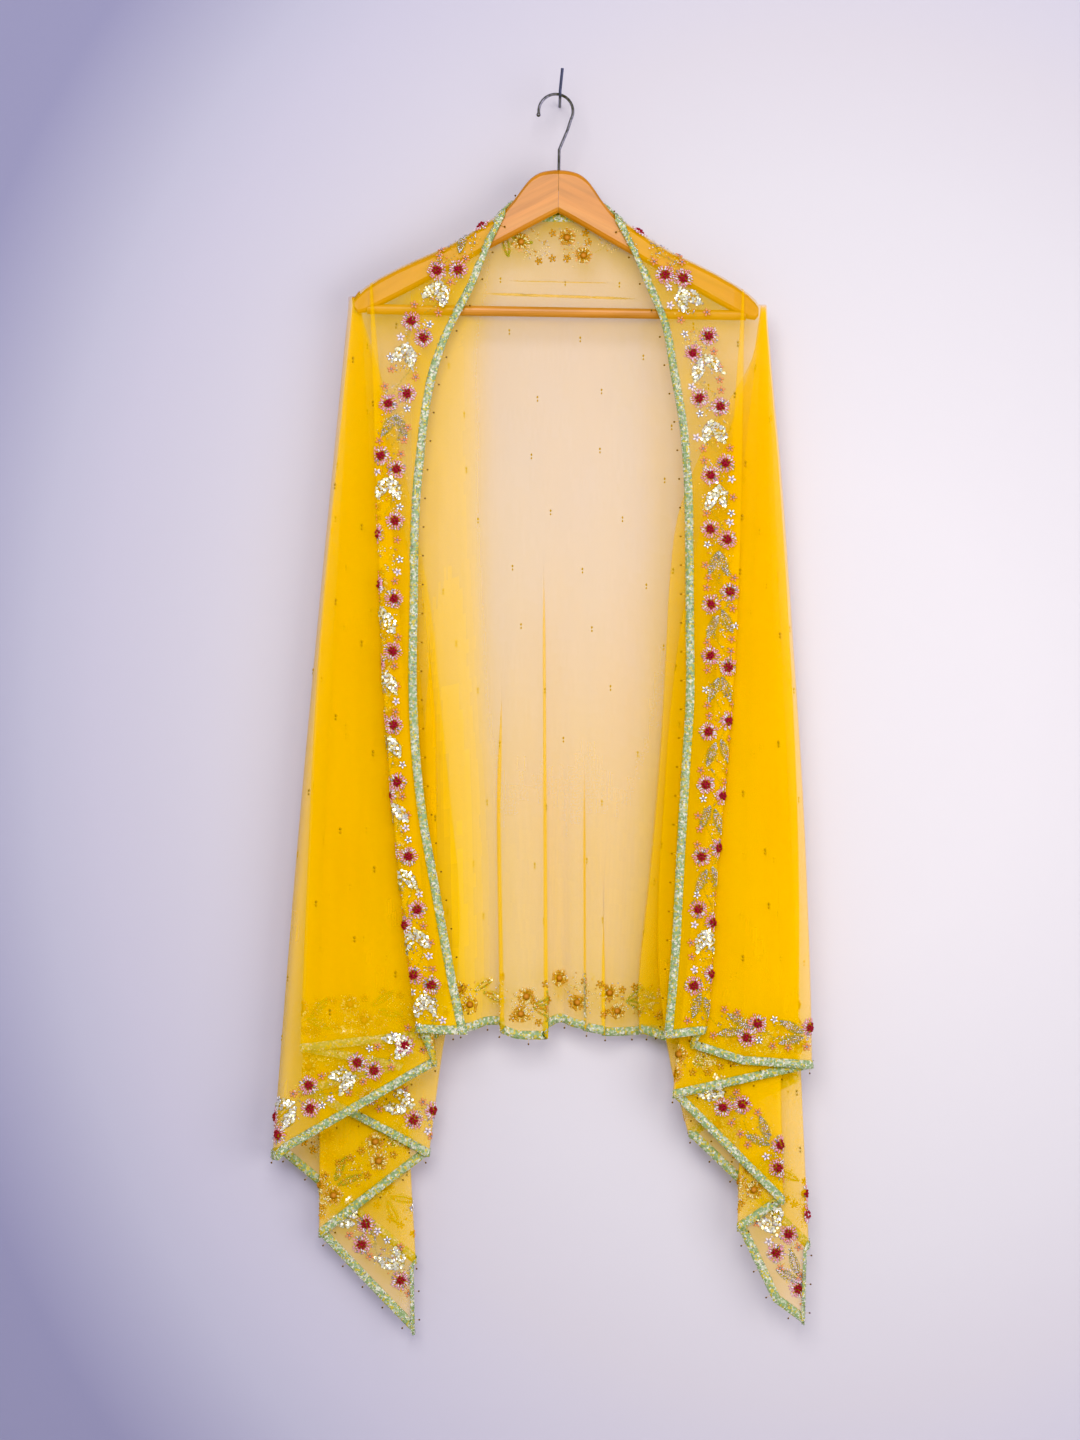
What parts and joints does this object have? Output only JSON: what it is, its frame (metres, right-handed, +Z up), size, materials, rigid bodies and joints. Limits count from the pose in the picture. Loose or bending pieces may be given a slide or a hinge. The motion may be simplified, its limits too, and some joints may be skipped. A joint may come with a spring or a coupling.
{
  "type": "dupatta stole on a coat hanger",
  "caption": "Sheer yellow embroidered dupatta stole draped over a wooden coat hanger, with a green edging all round, hung from a wall hook.",
  "frame": {"origin": "where the wall hook leaves the wall, on the wire's axis", "axes": "+Z up, +Y into the wall, +X to the right seen from the front; the front faces -Y"},
  "size_m": [0.585, 0.074, 1.3672],
  "materials": {
    "yellow_net": "sheer net with a soft sheen",
    "green_edging": "beaded edging with small glossy beads",
    "hanger_wood": "satin varnish",
    "dark_wire": "dark satin metal"
  },
  "bodies": {
    "root": {"cloth_front_left": "yellow_net", "cloth_fall_left_outer": "yellow_net", "cloth_fall_left_inner": "yellow_net", "cloth_back": "yellow_net", "cloth_fall_right_inner": "yellow_net", "cloth_fall_right_outer": "yellow_net", "cloth_front_right": "yellow_net", "trim_edge_left": "green_edging", "trim_edge_right": "green_edging", "trim_neck": "green_edging", "trim_hem_front_left": "green_edging", "trim_hem_fall_left_outer": "green_edging", "trim_hem_fall_left_inner": "green_edging", "trim_hem_back": "green_edging", "trim_hem_fall_right_inner": "green_edging", "trim_hem_fall_right_outer": "green_edging", "trim_hem_front_right": "green_edging", "hanger_arm_left": "hanger_wood", "hanger_arm_right": "hanger_wood", "hanger_bar": "hanger_wood", "hanger_hook": "dark_wire", "wall_hook": "dark_wire"}
  },
  "joints": []
}
